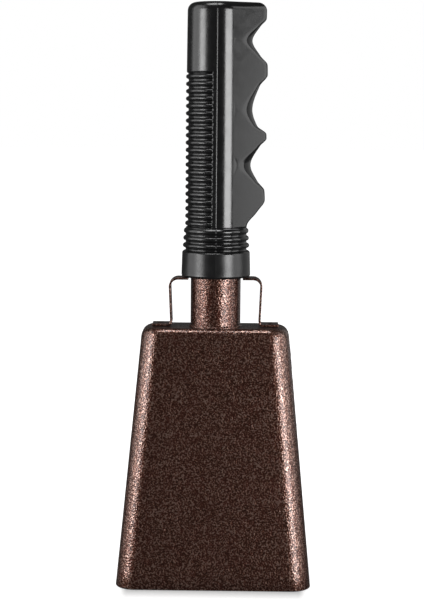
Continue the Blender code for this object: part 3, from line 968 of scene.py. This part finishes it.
def make_ball(ball_finish, weld):
    """The striker, with a blind hole for the rod and a weld round the rod."""
    centre_z = (BALL_LOW[2] + BALL_HIGH[2]) / 2
    radius = (BALL_HIGH[0] - BALL_LOW[0]) / 2
    hole = ROD_WIRE + 0.15 * MM
    mouth = math.degrees(math.acos(hole / radius))
    profile = [(0.0, centre_z), (hole, centre_z), (hole, centre_z + radius * 0.8)]
    profile += arc((0.0, centre_z), radius, mouth - 2.0, -90, 60)
    profile[-1] = (0.0, centre_z - radius)
    ball = turned("striker_ball", profile, steps=96)
    finish_with(ball, ball_finish, "bright_ball", "clapper", "clapper_ball")
    collar = circle(1.75 * MM, centre_z + radius - 0.15 * MM, 64)
    bead = weld_bead("ball_weld", collar, radius=0.6 * MM, ripple=0.10, closed=True)
    finish_with(bead, weld, "zinc_wire", "clapper")


# ---------------------------------------------------------------- studio


def make_camera():
    camera = bpy.data.objects.new("camera", bpy.data.cameras.new("camera"))
    bpy.context.scene.collection.objects.link(camera)
    camera.location = CAMERA_PLACE
    level = (Vector(AIM) - camera.location).to_track_quat("-Z", "Y")
    camera.rotation_mode = "QUATERNION"
    camera.rotation_quaternion = level @ Matrix.Rotation(math.radians(ROLL_DEGREES), 4, "Z").to_quaternion()
    camera.data.lens = LENS
    camera.data.sensor_width = 36.0
    camera.data.shift_y = SHIFT
    bpy.context.scene.camera = camera


def soft_box(name, azimuth, distance, centre_z, width, height, radiance):
    """An upright light panel that faces the object. Azimuth 0 is the camera's side, and 90 is +X."""
    light = bpy.data.lights.new(name, "AREA")
    light.shape = "RECTANGLE"
    light.size = width
    light.size_y = height
    light.energy = radiance * math.pi * width * height
    panel = bpy.data.objects.new(name, light)
    turn = math.radians(azimuth)
    panel.location = (distance * math.sin(turn), -distance * math.cos(turn), centre_z)
    target = Vector((0.0, 0.0, centre_z))
    panel.rotation_euler = (target - panel.location).to_track_quat("-Z", "Y").to_euler()
    panel.visible_camera = False
    bpy.context.scene.collection.objects.link(panel)
    return panel


def make_world():
    """White where the camera looks past the floor, and a dim studio for everything else."""
    world = bpy.data.worlds.new("studio")
    bpy.context.scene.world = world
    world.use_nodes = True
    tree = world.node_tree
    tree.nodes.clear()
    output = tree.nodes.new("ShaderNodeOutputWorld")
    mix = tree.nodes.new("ShaderNodeMixShader")
    seen = tree.nodes.new("ShaderNodeLightPath")
    dim = tree.nodes.new("ShaderNodeBackground")
    pale = tree.nodes.new("ShaderNodeBackground")
    dim.inputs["Color"].default_value = (0.07, 0.07, 0.07, 1.0)
    pale.inputs["Color"].default_value = (1.0, 1.0, 1.0, 1.0)
    tree.links.new(seen.outputs["Is Camera Ray"], mix.inputs["Fac"])
    tree.links.new(dim.outputs[0], mix.inputs[1])
    tree.links.new(pale.outputs[0], mix.inputs[2])
    tree.links.new(mix.outputs[0], output.inputs["Surface"])


def make_floor():
    """A table with a painted contact shadow under the bell, and a wide sweep under it."""
    bpy.ops.mesh.primitive_circle_add(
        vertices=96, radius=TABLE_RADIUS, fill_type="NGON", location=(0, 0, -TABLE_DROP)
    )
    table = bpy.context.object
    table.name = "studio_table"
    # Painted shadow: the table's material is darker and glows less under the bell's front half.
    table.data.materials.append(floor_material("pale_table", shadow=True))
    table.visible_glossy = False
    bpy.ops.mesh.primitive_plane_add(size=SWEEP_SIZE, location=(0, 0, -SWEEP_DROP))
    sweep = bpy.context.object
    sweep.name = "studio_sweep"
    sweep.data.materials.append(floor_material("pale_sweep", shadow=False))
    sweep.visible_glossy = False
    sweep.visible_diffuse = False


def make_studio():
    make_camera()
    make_world()
    bpy.context.scene.view_settings.view_transform = "Standard"
    make_floor()
    for panel in PANELS:
        soft_box(*panel)
    top = soft_box(*TOP_PANEL)
    top.location.x = TOP_PANEL_X
    top.rotation_euler = (0.0, 0.0, 0.0)  # face down


def main():
    make_studio()
    make_bell(hammertone_paint("bell_hammertone"))
    make_neck(hammertone_paint("neck_hammertone", warmth=1.05))
    strap_paint = hammertone_paint("strap_hammertone")
    make_strap("left_strap_strip", -1, strap_paint, "left_strap")
    make_strap("right_strap_strip", 1, strap_paint, "right_strap")
    make_grip(black_vinyl())
    zinc, weld = zinc_wire(), raw_weld()
    make_staple(zinc, weld)
    make_link(zinc, weld)
    make_rod(zinc)
    make_ball(bright_ball(), weld)


main()
